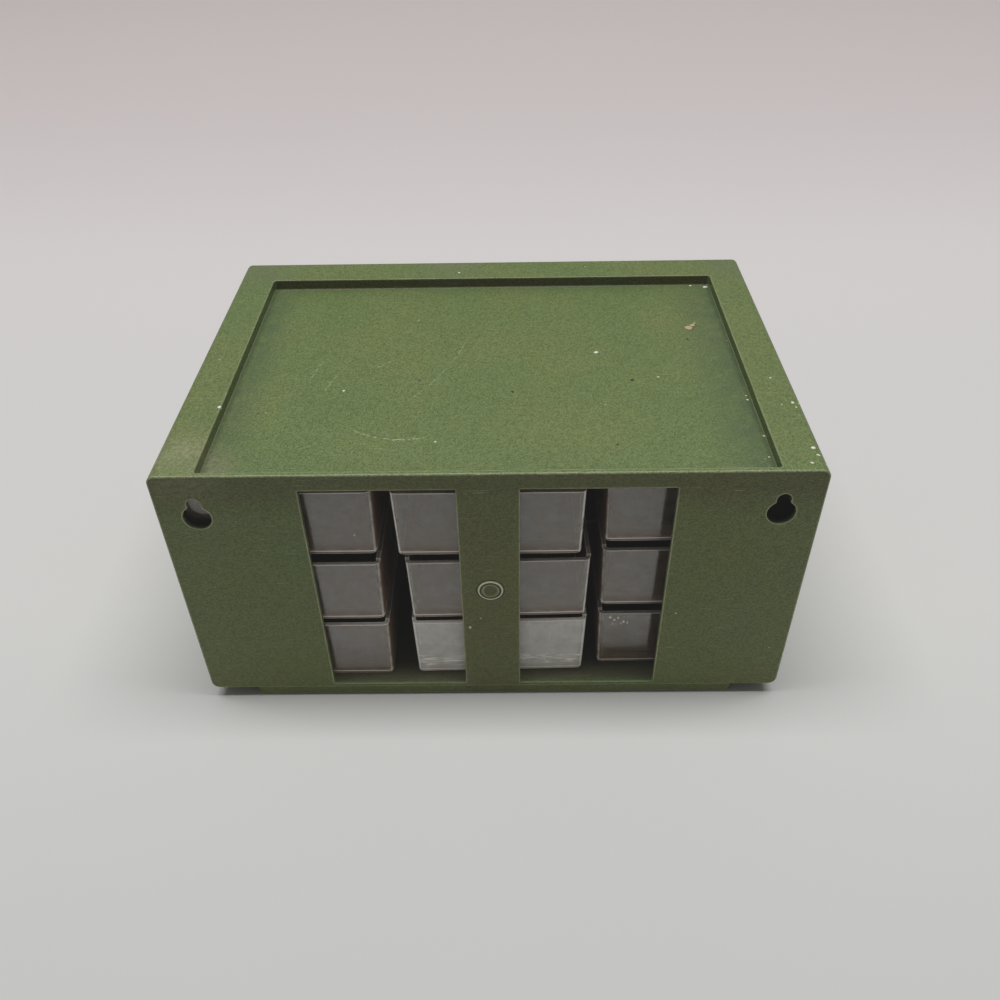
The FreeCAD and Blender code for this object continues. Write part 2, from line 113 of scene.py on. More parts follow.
# Curved scratches on the recess floor: x, y and radius of the curve, x, y and reach of the stretch of it
# that is scratched, and how strong it is.
SCRATCHES = [
    (31.2, 24.2, 31.1, 37.0, 55.0, 15.0, 0.8), (129.0, -43.0, 121.8, 18.1, 7.5, 32.0, 0.3),
    (11.5, 32.0, 54.0, 62.0, 13.0, 12.0, 0.4), (7.1, 22.7, 65.1, 70.0, 6.0, 9.0, 0.35),
    (54.7, -13.1, 19.6, 44.0, 3.0, 6.0, 0.5)]

# Darker grey bands along the recess walls: axis (0 is x, 1 is y), where it starts, where it is thickest, how
# thick.
RECESS_WALL_BANDS = [(0, 82.0, 100.0, 0.8), (0, -74.0, -100.0, 0.85), (1, -52.0, -66.0, 0.5)]

# The gate ring's lines: painted shadow lines on both sides of its rim, a painted highlight along the rim,
# and a fainter painted highlight on the rim of its disc.
GATE_HIGHLIGHT_AND_SHADOW_LINES = [
    (5.1, "#10140b", 0.9), (3.9, "#181d10", 0.9), (4.5, "#e6edc6", 0.9), (3.0, "#a9af8c", 0.3)]

# Dried splashes on the drawers' rear walls: place and radius.
SPLASHES = [
    (-47.3, 73.0, 37.0, 0.8), (-49.1, 73.0, 35.3, 0.7), (-50.6, 73.0, 36.6, 0.6),
    (-48.4, 73.0, 33.1, 0.5), (-52.8, 73.0, 34.2, 0.8), (-54.4, 73.0, 33.6, 0.6),
    (49.1, 78.3, 85.7, 0.5), (-51.8, 73.0, 33.1, 0.5)]


# --------------------------------------------------------------------------------------------------
# Material tools
# --------------------------------------------------------------------------------------------------

def colour(code):
    """Turns an sRGB hex code into linear red, green and blue, and an alpha of one."""
    channels = [int(code[k:k + 2], 16) / 255 for k in (1, 3, 5)]
    return [c / 12.92 if c <= 0.04045 else ((c + 0.055) / 1.055) ** 2.4 for c in channels] + [1.0]


def add(tree, kind, feeds, out=0, stops=None, **settings):
    """Adds a node and returns one of its outputs.

    settings are the node's own properties, feeds gives each input a socket or a plain value, and stops
    fills a colour ramp with pairs of a place and a colour or a grey. Inputs 1 and 2 of a MapRange are where
    its value starts and ends, and 3 and 4 are what comes out there. Inputs 6 and 7 of a Mix are its colours.
    """
    made = tree.nodes.new("ShaderNode" + kind)
    for name, value in settings.items():
        setattr(made, name, value)
    for name, value in feeds.items():
        if isinstance(value, bpy.types.NodeSocket):
            tree.links.new(value, made.inputs[name])
        else:
            made.inputs[name].default_value = value
    for k, (spot, value) in enumerate(stops or []):
        element = made.color_ramp.elements[k] if k < 2 else made.color_ramp.elements.new(spot)
        element.position = spot
        element.color = value if isinstance(value, list) else [value, value, value, 1.0]
    return made.outputs[out]


def material(name):
    """Starts a material and gives its tree, its Principled shader and the Object coordinates."""
    made = bpy.data.materials.new(name)
    made.use_nodes = True
    tree = made.node_tree
    return made, tree, tree.nodes["Principled BSDF"], add(tree, "TexCoord", {}, "Object")


def spot_mask(tree, place, middle, outer, inner, depth):
    """A round spot: depth up to the inner radius, fading to nothing at the outer one."""
    middle = [c * MM for c in middle]
    away = add(tree, "VectorMath", {0: place, 1: middle}, "Value", operation="DISTANCE")
    return add(tree, "MapRange", {"Value": away, 1: outer * MM, 2: inner * MM, 3: 0.0, 4: depth})


def line_mask(tree, length, at, outer, inner, depth):
    """A line where a length is at one value: depth up to inner from it, fading to nothing at outer."""
    off = add(tree, "Math", {0: length, 1: at * MM}, operation="SUBTRACT")
    off = add(tree, "Math", {0: off}, operation="ABSOLUTE")
    return add(tree, "MapRange", {"Value": off, 1: outer * MM, 2: inner * MM, 3: 0.0, 4: depth})


def dress(node, finish):
    """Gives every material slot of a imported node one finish."""
    for slot in nodes[node].material_slots:
        slot.material = finish


# --------------------------------------------------------------------------------------------------
# Green polystyrene
# --------------------------------------------------------------------------------------------------

PEBBLE = 0.62                       # across one pebble of the leather grain
GRAIN_DEPTH = 0.22
SPECKLE = 1.6                       # the fine mottling of the pigment
WORN_PATCH = 8.0                    # how far apart the more and the less worn places are
DRIFT = 2.2                         # the noise that pulls the grain and the marks out of line
EDGE_RADIUS = 1.1                   # how far an edge of the housing is rubbed
CORNER_SHADE = 22.0                  # how far the painted corner shade and dust reach out of a corner
RECESS_BAND_HEIGHTS = (RIM - 1.8, RIM - 2.8)   # no darker bands over the first height, full ones under the second
DARK_TOP = (97.0, 110.0)            # the back panel is browner from the first height up to the second
DARK_STRIP = (18.0, 8.0)            # and down its strip from the first distance in to the second
RING_LINE = (0.4, 0.2)              # half width of a line on the gate ring, to its soft and its full edge
FINE_SCRATCH = (14.0, 0.35, 0.6)    # size of the noise behind the short scratches, along each axis
CURVED_SCRATCH = (0.35, 0.1)        # half width of a curved scratch, to its soft and its full edge
CROWD_CELL = 2.4                    # at most one speck of a crowd in each cell

PIGMENT = ("#6e824e", "#72834e", "#78834e")
RUBBED_PALE = "#bcc2a2"
# painted corner shade mixed with grey dust
GREY_SHADE_AND_DUST = "#4b5a40"
# painted shade inside the housing mixed with brown dust
BROWN_SHADE_AND_DUST = "#625c4c"
TOP_AND_STRIP_TINT = "#e8dadb"                 # this one and the next are tints, laid over the pigment
BACK_FACE_TINT = "#fff6e8"
FINE_LINE = "#a5ad88"
CURVED_LINE = "#b7be9c"
PALE_SPECK = "#d8dbc6"

# Flecks and pits: size of their cells, radius as a share of a cell, colour, share of the cells left bare.
SCATTER = [(11.0, 0.034, "#c9cdb4", 0.72), (8.0, 0.036, "#39402a", 0.66)]


def leather_grain(tree, base, bent, grain):
    """Rounded pebbles for the relief. In the colour, painted shade in their creases and a painted glint of
    its own strength on each pebble.
    """
    cells = add(tree, "TexVoronoi", {"Vector": bent, "Scale": 1 / (PEBBLE * MM)})
    # painted shade in the creases between the pebbles
    crease_shade = add(tree, "ValToRGB", {"Fac": cells}, stops=[(0.30, 1.0), (0.75, 1.0 - 0.25 * grain)])
    # each pebble's own brightness is a painted glint
    tone = add(tree, "SeparateColor", {"Color": cells.node.outputs["Color"]})
    tone = add(tree, "ValToRGB", {"Fac": tone}, stops=[(0.0, 1.0 - 0.34 * grain), (0.8, 1.0)])
    for shade in (crease_shade, tone):
        base = add(tree, "Mix", {0: 1.0, 6: base, 7: shade}, 2, data_type="RGBA", blend_type="MULTIPLY")
    return base, cells


def rubbed_edges(tree, base, turn, up, patch, wear):
    """Edges rubbed pale where a rounded normal leaves the true one, less so on faces that look up."""
    edge = add(tree, "MapRange", {"Value": turn, 1: 0.99, 2: 0.92, 3: 0.0, 4: wear})
    spared = add(tree, "MapRange", {"Value": up, 1: 0.0, 2: 1.0, 3: 1.0, 4: 0.4})
    worn = add(tree, "Math", {0: edge, 1: patch}, operation="MULTIPLY")
    worn = add(tree, "Math", {0: worn, 1: spared}, operation="MULTIPLY")
    return add(tree, "Mix", {0: worn, 6: base, 7: colour(RUBBED_PALE)}, 2, data_type="RGBA")


def corner_shade_and_dust(tree, base, spot, up, patch, housing):
    """Painted shade with grey-brown dust in the corners of faces that look up, and darker grey bands along
    the recess walls.
    """
    # painted shade where nearby surfaces close in, mixed with dust
    shut = add(tree, "AmbientOcclusion", {"Distance": CORNER_SHADE * MM}, "AO", samples=12)
    shade_and_dust = add(tree, "MapRange", {"Value": shut, 1: 0.97, 2: 0.70, 3: 0.0, 4: 0.6})
    if housing:
        high, low = RECESS_BAND_HEIGHTS
        deep = add(tree, "MapRange", {"Value": spot.outputs[2], 1: high * MM, 2: low * MM, 3: 0.0, 4: 1.0})
        for axis, clean, dusty, depth in RECESS_WALL_BANDS:
            band = add(tree, "MapRange", {"Value": spot.outputs[axis], 1: clean * MM, 2: dusty * MM,
                                          3: 0.0, 4: depth}, interpolation_type="SMOOTHSTEP")
            band = add(tree, "Math", {0: band, 1: deep}, operation="MULTIPLY")
            shade_and_dust = add(tree, "Math", {0: shade_and_dust, 1: band}, operation="MAXIMUM")
    for mask in (up, patch):
        shade_and_dust = add(tree, "Math", {0: shade_and_dust, 1: mask}, operation="MULTIPLY")
    return add(tree, "Mix", {0: shade_and_dust, 6: base, 7: colour(GREY_SHADE_AND_DUST)}, 2, data_type="RGBA")


def inside_shade_and_dust(tree, base, place):
    """Painted shade with years of brown dust on every face that looks into the housing."""
    spread = add(tree, "VectorMath", {0: place, 1: [-c * MM for c in INSIDE_MIDDLE]}, operation="ADD")
    spread = add(tree, "VectorMath", {0: spread}, operation="ABSOLUTE")
    shrink = [1 / (c * MM) for c in INSIDE_HALF]
    spread = add(tree, "VectorMath", {0: spread, 1: shrink}, operation="MULTIPLY")
    parts = add(tree, "SeparateXYZ", {0: spread}).node
    most = add(tree, "Math", {0: parts.outputs[0], 1: parts.outputs[1]}, operation="MAXIMUM")
    most = add(tree, "Math", {0: most, 1: parts.outputs[2]}, operation="MAXIMUM")
    # painted shade and dust on the inward faces
    inside = add(tree, "MapRange", {"Value": most, 1: 1.003, 2: 0.998, 3: 0.0, 4: 0.65})
    return add(tree, "Mix", {0: inside, 6: base, 7: colour(BROWN_SHADE_AND_DUST)}, 2, data_type="RGBA")


def darker_back_top_and_strip(tree, base, spot, facing):
    """The back panel, tinted a little warmer, and darker and browner along its top and down its strip."""
    behind = add(tree, "MapRange", {"Value": facing.outputs[1], 1: 0.8, 2: 0.95, 3: 0.0, 4: 1.0})
    low, high = DARK_TOP
    top = add(tree, "MapRange", {"Value": spot.outputs[2], 1: low * MM, 2: high * MM, 3: 0.0, 4: 1.0})
    outer, inner = DARK_STRIP
    strip = add(tree, "Math", {0: spot.outputs[0]}, operation="ABSOLUTE")
    strip = add(tree, "MapRange", {"Value": strip, 1: outer * MM, 2: inner * MM, 3: 0.0, 4: 0.7})
    darker = add(tree, "Math", {0: top, 1: strip}, operation="MAXIMUM")
    darker = add(tree, "Math", {0: darker, 1: behind}, operation="MULTIPLY")
    for mask, tone in ((darker, TOP_AND_STRIP_TINT), (behind, BACK_FACE_TINT)):
        base = add(tree, "Mix", {0: mask, 6: base, 7: colour(tone)}, 2, data_type="RGBA",
                   blend_type="MULTIPLY")
    return base


def gate_ring(tree, base, place):
    """The gate ring, with a painted highlight along its rim and painted shadow lines along both sides."""
    middle = [c * MM for c in GATE]
    away = add(tree, "VectorMath", {0: place, 1: middle}, "Value", operation="DISTANCE")
    for radius, tone, depth in GATE_HIGHLIGHT_AND_SHADOW_LINES:
        # painted highlight and shadow lines round the ring
        line = line_mask(tree, away, radius, *RING_LINE, depth)
        base = add(tree, "Mix", {0: line, 6: base, 7: colour(tone)}, 2, data_type="RGBA")
    return base


def fine_wear(tree, base, place, wear):
    """Short scratches from a noise drawn out 40 to 1 along two slants, and a scatter of flecks and pits."""
    for slant in (0.5, -0.9):
        drawn = add(tree, "Mapping", {"Vector": place, "Rotation": (0.0, 0.0, slant),
                                      "Scale": [1 / (c * MM) for c in FINE_SCRATCH]})
        drawn = add(tree, "TexNoise", {"Vector": drawn, "Scale": 1.0, "Detail": 1.0})
        line = add(tree, "MapRange", {"Value": drawn, 1: 0.74, 2: 0.80, 3: 0.0, 4: 0.45 * wear})
        base = add(tree, "Mix", {0: line, 6: base, 7: colour(FINE_LINE)}, 2, data_type="RGBA")

    for cell, radius, tone, bare in SCATTER:
        cells = add(tree, "TexVoronoi", {"Vector": place, "Scale": 1 / (cell * MM)})
        near = add(tree, "MapRange", {"Value": cells, 1: radius, 2: radius / 2, 3: 0.0, 4: 1.0})
        lot = add(tree, "SeparateColor", {"Color": cells.node.outputs["Color"]})
        some = add(tree, "Math", {0: lot, 1: bare}, operation="GREATER_THAN")
        near = add(tree, "Math", {0: near, 1: some}, operation="MULTIPLY")
        base = add(tree, "Mix", {0: near, 6: base, 7: colour(tone)}, 2, data_type="RGBA")
    return base


def pull(tree, place, drift, reach):
    """Pulls places out of line by up to a reach, so that what is drawn with them has a ragged outline.

    The drift is a half on average, so a mark that has to keep its place is drawn half a reach further on.
    """
    shift = add(tree, "VectorMath", {0: drift, "Scale": reach * MM}, operation="SCALE")
    return add(tree, "VectorMath", {0: place, 1: shift}, operation="ADD")


def curved_scratches(tree, base, place, drift, speckle):
    """Scratches that follow arcs on the recess floor, shaken by a noise and broken along their length."""
    broken = add(tree, "MapRange", {"Value": speckle, 1: 0.45, 2: 0.58, 3: 0.1, 4: 1.0})
    reach = 1.6
    shaken = pull(tree, place, drift, reach)
    for x, y, radius, part_x, part_y, part_reach, depth in SCRATCHES:
        middle = [(c + reach / 2) * MM for c in (x, y, RECESS)]
        away = add(tree, "VectorMath", {0: shaken, 1: middle}, "Value", operation="DISTANCE")
        line = line_mask(tree, away, radius, *CURVED_SCRATCH, depth)
        part = (part_x, part_y, RECESS)
        near = spot_mask(tree, place, part, outer=part_reach, inner=0.7 * part_reach, depth=1.0)
        for mask in (near, broken):
            line = add(tree, "Math", {0: line, 1: mask}, operation="MULTIPLY")
        base = add(tree, "Mix", {0: line, 6: base, 7: colour(CURVED_LINE)}, 2, data_type="RGBA")
    return base


def smudges(tree, base, place, speckle, patch):
    """Dusty smudges near the corners, speckled and patchy."""
    dusty = add(tree, "MapRange", {"Value": speckle, 1: 0.40, 2: 0.60, 3: 0.3, 4: 1.0})
    for x, y, z, radius, tone in SMUDGES:
        near = spot_mask(tree, place, (x, y, z), outer=radius, inner=0.0, depth=1.0)
        for mask in (patch, dusty):
            near = add(tree, "Math", {0: near, 1: mask}, operation="MULTIPLY")
        base = add(tree, "Mix", {0: near, 6: base, 7: colour(tone)}, 2, data_type="RGBA")
    return base


def crowded_specks(tree, base, place, bent):
    """Crowds of pale specks of many sizes, each speck in a cell of its own and many cells bare."""
    cells = add(tree, "TexVoronoi", {"Vector": bent, "Scale": 1 / (CROWD_CELL * MM)})
    lot = add(tree, "SeparateColor", {"Color": cells.node.outputs["Color"]})
    size = add(tree, "MapRange", {"Value": lot, 1: 0.35, 2: 1.0, 3: 0.0, 4: 0.24})
    specks = add(tree, "Math", {0: cells, 1: size}, operation="LESS_THAN")
    for x, y, z, radius in CROWDS:
        near = spot_mask(tree, place, (x, y, z), outer=radius, inner=0.8 * radius, depth=0.8)
        near = add(tree, "Math", {0: near, 1: specks}, operation="MULTIPLY")
        base = add(tree, "Mix", {0: near, 6: base, 7: colour(PALE_SPECK)}, 2, data_type="RGBA")
    return base


def placed_marks(tree, base, place, drift):
    """The flecks, the pits, the crumb and the crumb's painted shadow at their own places, with ragged
    outlines.
    """
    reach = 1.1
    ragged = pull(tree, place, drift, reach)
    for tone, spots in MARKS:
        for x, y, z, radius in spots:
            middle = [c + reach / 2 for c in (x, y, z)]
            near = spot_mask(tree, ragged, middle, outer=radius, inner=0.7 * radius, depth=0.9)
            base = add(tree, "Mix", {0: near, 6: base, 7: colour(tone)}, 2, data_type="RGBA")
    return base


def green_polystyrene(name, grain, wear, housing):
    """Green high-impact polystyrene, injection moulded in an etched tool.

    It is dull and slightly waxy. It shows an even leather grain under 1 mm across, with painted shade in its
    creases and a painted glint on each pebble, soft olive clouds from aged pigment, edges rubbed pale,
    painted shade with grey-brown dust in the corners, fine scratches, flecks and pits. The housing also has
    the dust, dirt, scratches and marks that lie at places of its own, painted shade with brown dust inside
    it, a back panel darker and browner along its top, painted highlight and shadow lines on its gate ring,
    and a painted shadow round its crumb.
    """
    made, tree, shader, place = material(name)
    clouds = add(tree, "TexNoise", {"Vector": place, "Scale": 20.0, "Detail": 4.0, "Roughness": 0.6})
    base = add(tree, "ValToRGB", {"Fac": clouds}, stops=list(
        zip((0.30, 0.50, 0.70), [colour(tone) for tone in PIGMENT])))
    speckle = add(tree, "TexNoise", {"Vector": place, "Scale": 1 / (SPECKLE * MM), "Detail": 2.0})
    tint = add(tree, "ValToRGB", {"Fac": speckle}, stops=[(0.30, 0.88), (0.70, 1.0)])
    base = add(tree, "Mix", {0: 0.7, 6: base, 7: tint}, 2, data_type="RGBA", blend_type="MULTIPLY")
    patch = add(tree, "TexNoise", {"Vector": place, "Scale": 1 / (WORN_PATCH * MM), "Detail": 5.0,
                                   "Roughness": 0.7})
    patch = add(tree, "MapRange", {"Value": patch, 1: 0.36, 2: 0.62, 3: 0.45, 4: 1.0})
    drift = add(tree, "TexNoise", {"Vector": place, "Scale": 1 / (DRIFT * MM), "Detail": 1.0}, "Color")
    bent = pull(tree, place, drift, 0.6)

    rounded = add(tree, "Bevel", {"Radius": EDGE_RADIUS * MM}, samples=8)
    true = add(tree, "NewGeometry", {}, "Normal")
    turn = add(tree, "VectorMath", {0: rounded, 1: true}, "Value", operation="DOT_PRODUCT")
    facing = add(tree, "SeparateXYZ", {0: true}).node
    up = add(tree, "MapRange", {"Value": facing.outputs[2], 1: 0.3, 2: 0.8, 3: 0.0, 4: 1.0})
    spot = add(tree, "SeparateXYZ", {0: place}).node

    base, cells = leather_grain(tree, base, bent, grain)
    base = rubbed_edges(tree, base, turn, up, patch, wear)
    base = corner_shade_and_dust(tree, base, spot, up, patch, housing)
    if housing:
        base = inside_shade_and_dust(tree, base, place)
        base = darker_back_top_and_strip(tree, base, spot, facing)
        base = gate_ring(tree, base, place)
    base = fine_wear(tree, base, place, wear)
    if housing:
        base = curved_scratches(tree, base, place, drift, speckle)
        base = smudges(tree, base, place, speckle, patch)
        base = crowded_specks(tree, base, place, bent)
        base = placed_marks(tree, base, place, drift)
    tree.links.new(base, shader.inputs["Base Color"])

    gloss = add(tree, "MapRange", {"Value": clouds, 1: 0.3, 2: 0.7, 3: 0.36, 4: 0.46})
    tree.links.new(gloss, shader.inputs["Roughness"])
    shader.inputs["IOR"].default_value = 1.57
    shader.inputs["Specular IOR Level"].default_value = 0.38

    # the grain runs out on the rounded edges
    calm = add(tree, "MapRange", {"Value": turn, 1: 0.90, 2: 0.995, 3: 0.15 * grain, 4: grain})
    relief = add(tree, "Bump", {"Height": cells, "Strength": calm, "Distance": GRAIN_DEPTH * MM,
                                "Normal": rounded}, invert=True)
    tree.links.new(relief, shader.inputs["Normal"])
    return made


# --------------------------------------------------------------------------------------------------
# Clear polystyrene
# --------------------------------------------------------------------------------------------------

TRAY_EDGE = 0.9                     # how far an edge of a drawer is rounded, and how wide its painted highlight is
TRAY_FLOOR = 2.2                    # top of a drawer's floor, over its underside
TRAY_RIM = 29.8                     # top of its side and rear walls, over its underside
TRAY_PATCH = 6.0                    # how far apart the more and the less dusty places are
MIDDLE_COLUMN = (42.0, 36.0)        # outside the first distance from the middle are the side columns
FLOOR_LINE = (0.34, 0.14)           # half width of the painted highlight line of the floor, to its soft and its full edge
RUST_HEIGHT = (6.5, 1.5)            # rust dust starts at the first height and is thickest at the second
RUST_WANDER = 2.5                   # how far those heights go up and down
SETTLED = (0.0, 72.0)               # dust lies thicker from the first place back to the second
BLOWN = (30.0, 75.0)                # and so does the dust on the sides
RUBBED_BAND = (8.0, 4.5, 0.0)       # height of the rubbed band, and how far it fades out and is full
STREAK = (7.0, 7.0, 0.9)            # size of the noise behind the band's streaks, along each axis
UPRIGHT_SCUFF = (0.8, 0.8, 12.0)    # and behind the upright scuffs
FLOW = 14.0                         # the slow waves that the melt leaves in a wall
FLOW_DEPTH = 0.05

CLEAR = "#f1f2ee"
RUST = "#7a5f4e"
# painted milky highlight, also the colour of the splashes
MILKY_HIGHLIGHT_AND_SPLASH = "#f2efe9"
LAMPLIT = "#f8f7f4"                 # what a wall lets through of a lamp's light


def edge_highlights_and_splashes(tree, place, turn, sides, height, patch):
    """Painted milky highlights on edges, upright corners, rims and the line of the floor, and dried
    splashes.
    """
    edge = add(tree, "MapRange", {"Value": turn, 1: 0.99, 2: 0.84, 3: 0.0, 4: 0.95})

    # painted highlights on upright corners, which look along x and y at once, brightest in the middle column
    corner = add(tree, "Math", {0: sides.outputs[0], 1: sides.outputs[1]}, operation="MULTIPLY")
    corner = add(tree, "Math", {0: corner}, operation="ABSOLUTE")
    corner = add(tree, "MapRange", {"Value": corner, 1: 0.40, 2: 0.50, 3: 0.0, 4: 0.9})
    uneven = add(tree, "MapRange", {"Value": patch, 1: 0.30, 2: 0.50, 3: 0.55, 4: 1.0})
    corner = add(tree, "Math", {0: corner, 1: uneven}, operation="MULTIPLY")
    aside = add(tree, "SeparateXYZ", {0: place}, "X")
    aside = add(tree, "Math", {0: aside}, operation="ABSOLUTE")
    outer, inner = MIDDLE_COLUMN
    column = add(tree, "MapRange", {"Value": aside, 1: outer * MM, 2: inner * MM, 3: 0.6, 4: 1.15})
    corner = add(tree, "Math", {0: corner, 1: column}, operation="MULTIPLY", use_clamp=True)

    rim = add(tree, "MapRange", {"Value": height, 1: (TRAY_RIM - 0.8) * MM, 2: (TRAY_RIM - 0.2) * MM,
                                 3: 0.0, 4: 0.45})
    level = add(tree, "MapRange", {"Value": sides.outputs[2], 1: 0.6, 2: 0.9, 3: 0.0, 4: 1.0})
    rim = add(tree, "Math", {0: rim, 1: level}, operation="MULTIPLY")
    masks = [corner, rim, line_mask(tree, height, TRAY_FLOOR, *FLOOR_LINE, depth=0.85)]

    # a splash lies on both faces of the wall, so its depth along y is squashed
    squash = 0.1
    squashed = add(tree, "VectorMath", {0: place, 1: (1.0, squash, 1.0)}, operation="MULTIPLY")
    for x, y, z, radius in SPLASHES:
        middle = (x, squash * y, z)
        masks.append(spot_mask(tree, squashed, middle, outer=radius, inner=0.5 * radius, depth=0.9))
    for mask in masks:
        edge = add(tree, "Math", {0: edge, 1: mask}, operation="MAXIMUM")
    return edge


def rust_dust(tree, place, sides, height):
    """Rust-brown dust on the floors and the foot of the walls, and blown on the sides near the back."""
    high, low = RUST_HEIGHT
    rust = add(tree, "MapRange", {"Value": height, 1: high * MM, 2: low * MM, 3: 0.0, 4: 0.5})
    depth = add(tree, "SeparateXYZ", {0: place}, "Y")
    front, back = SETTLED
    settled = add(tree, "MapRange", {"Value": depth, 1: front * MM, 2: back * MM, 3: 0.22, 4: 1.0})
    rust = add(tree, "Math", {0: rust, 1: settled}, operation="MULTIPLY")
    flank = add(tree, "Math", {0: sides.outputs[0]}, operation="ABSOLUTE")
    flank = add(tree, "MapRange", {"Value": flank, 1: 0.8, 2: 0.95, 3: 0.0, 4: 0.75})
    front, back = BLOWN
    blown = add(tree, "MapRange", {"Value": depth, 1: front * MM, 2: back * MM, 3: 0.08, 4: 1.0})
    flank = add(tree, "Math", {0: flank, 1: blown}, operation="MULTIPLY")
    return add(tree, "Math", {0: rust, 1: flank}, operation="MAXIMUM")


def handling_scuffs(tree, place, sides, height, scuff):
    """Fine upright scuffs on the walls, and near their foot a rubbed band of streaks along it."""
    rubbed = line_mask(tree, height, *RUBBED_BAND, depth=0.7 * scuff)
    streak = add(tree, "Mapping", {"Vector": place, "Rotation": (0.0, 0.06, 0.0),
                                   "Scale": [1 / (c * MM) for c in STREAK]})
    streak = add(tree, "TexNoise", {"Vector": streak, "Scale": 1.0, "Detail": 4.0, "Distortion": 0.6})
    streak = add(tree, "MapRange", {"Value": streak, 1: 0.46, 2: 0.62, 3: 0.0, 4: 1.0})
    rubbed = add(tree, "Math", {0: rubbed, 1: streak}, operation="MULTIPLY")

    lines = add(tree, "Mapping", {"Vector": place, "Scale": [1 / (c * MM) for c in UPRIGHT_SCUFF]})
    lines = add(tree, "TexNoise", {"Vector": lines, "Scale": 1.0, "Detail": 3.0})
    lines = add(tree, "MapRange", {"Value": lines, 1: 0.64, 2: 0.80, 3: 0.0, 4: 0.4 * scuff})
    upright = add(tree, "MapRange", {"Value": sides.outputs[2], 1: 0.7, 2: 0.3, 3: 0.0, 4: 1.0})
    lines = add(tree, "Math", {0: lines, 1: upright}, operation="MULTIPLY")
    return add(tree, "Math", {0: lines, 1: rubbed}, operation="MAXIMUM")


def clear_polystyrene(name, film, blotch, scuff, tone):
    """Crystal polystyrene, injection moulded in a polished tool, of index 1.59.

    It shows clear walls that mirror the table, with painted milky highlights on its edges, a thin film of
    dust and handling scuffs. Lamps shine through it, as they do through a thin clear wall.
    """
    made, tree, shader, place = material(name)
    patch = add(tree, "TexNoise", {"Vector": place, "Scale": 1 / (TRAY_PATCH * MM), "Detail": 5.0,
                                   "Roughness": 0.65})
    rounded = add(tree, "Bevel", {"Radius": TRAY_EDGE * MM}, samples=8)
    true = add(tree, "NewGeometry", {}, "Normal")
    turn = add(tree, "VectorMath", {0: rounded, 1: true}, "Value", operation="DOT_PRODUCT")
    sides = add(tree, "SeparateXYZ", {0: true}).node

    # height over the underside of the drawer's own row, first true and then wandering for the dust
    height = add(tree, "SeparateXYZ", {0: place}, "Z")
    height = add(tree, "Math", {0: height, 1: -LOWEST * MM}, operation="ADD")
    height = add(tree, "Math", {0: height, 1: ROW * MM}, operation="FLOORED_MODULO")
    wander = add(tree, "MapRange", {"Value": patch, 1: 0.3, 2: 0.7, 3: -RUST_WANDER * MM,
                                    4: RUST_WANDER * MM})
    ragged = add(tree, "Math", {0: height, 1: wander}, operation="ADD")

    edge = edge_highlights_and_splashes(tree, place, turn, sides, height, patch)
    rust = rust_dust(tree, place, sides, ragged)
    cover = handling_scuffs(tree, place, sides, ragged, scuff)
    haze = add(tree, "MapRange", {"Value": patch, 1: 0.35, 2: 0.70, 3: film * (1 - blotch),
                                  4: film * (1 + blotch)})
    cover = add(tree, "Math", {0: cover, 1: haze}, operation="ADD")
    cover = add(tree, "Math", {0: cover, 1: rust}, operation="ADD")
    cover = add(tree, "Math", {0: cover, 1: edge}, operation="ADD", use_clamp=True)

    shader.inputs["Base Color"].default_value = colour(CLEAR)
    shader.inputs["Transmission Weight"].default_value = 1.0
    shader.inputs["Coat Weight"].default_value = 1.0
    for layer in ("", "Coat "):
        shader.inputs[layer + "IOR"].default_value = 1.59
        shader.inputs[layer + "Roughness"].default_value = 0.09
    flow = add(tree, "TexNoise", {"Vector": place, "Scale": 1 / (FLOW * MM), "Detail": 1.0})
    relief = add(tree, "Bump", {"Height": flow, "Strength": 1.0, "Distance": FLOW_DEPTH * MM,
                                "Normal": rounded})
    tree.links.new(relief, shader.inputs["Normal"])

    soil = add(tree, "Mix", {0: rust, 6: colour(tone), 7: colour(RUST)}, 2, data_type="RGBA")
    # painted milky highlights on edges and corners, with the splashes
    soil = add(tree, "Mix", {0: edge, 6: soil, 7: colour(MILKY_HIGHLIGHT_AND_SPLASH)}, 2, data_type="RGBA")
    soil = add(tree, "BsdfDiffuse", {"Color": soil})
    wall = add(tree, "MixShader", {0: cover, 1: shader.outputs[0], 2: soil})
    open_wall = add(tree, "BsdfTransparent", {"Color": colour(LAMPLIT)})
    lamp_ray = add(tree, "LightPath", {}, "Is Shadow Ray")
    seen = add(tree, "MixShader", {0: lamp_ray, 1: wall, 2: open_wall})
    tree.links.new(seen, tree.nodes["Material Output"].inputs["Surface"])
    return made


# --------------------------------------------------------------------------------------------------
# The cabinet's finishes
# --------------------------------------------------------------------------------------------------

dress("case_shell", green_polystyrene(
    "leather_grained_moulded_green_polystyrene", grain=1.0, wear=1.0, housing=True))
dress("drawer_frame", green_polystyrene(
    "smooth_moulded_green_polystyrene", grain=0.2, wear=0.6, housing=False))
clear = clear_polystyrene(
    "moulded_clear_polystyrene", film=0.24, blotch=0.6, scuff=0.25, tone="#a29282")
scuffed = clear_polystyrene(
    "scuffed_moulded_clear_polystyrene", film=0.50, blotch=0.22, scuff=0.9, tone="#ebe7df")
for name in DRAWERS:
    dress(name, scuffed if name == "drawer_bottom_middle" else clear)


# --------------------------------------------------------------------------------------------------
# Floor and light
# --------------------------------------------------------------------------------------------------

# The floor's tones from near the camera to far beyond the cabinet, darker at both ends as painted shade:
# share of the way, and colour.
FLOOR_NEAR = 0.25
FLOOR_FAR = -0.85
FLOOR_TONES = [
    (0.03, "#b8bab8"), (0.20, "#c4c4c2"), (0.55, "#c8c5c4"), (0.80, "#c2bcbc"), (0.97, "#c2bab9")]

# Points of the tone curve, each with what it is lifted to. From the last one on, the curve is straight.
BLACK = (0.0, 0.009)
TOE = [(0.012, 0.0165), (0.03, 0.0312), (0.06, 0.0602), (0.20, 0.20)]


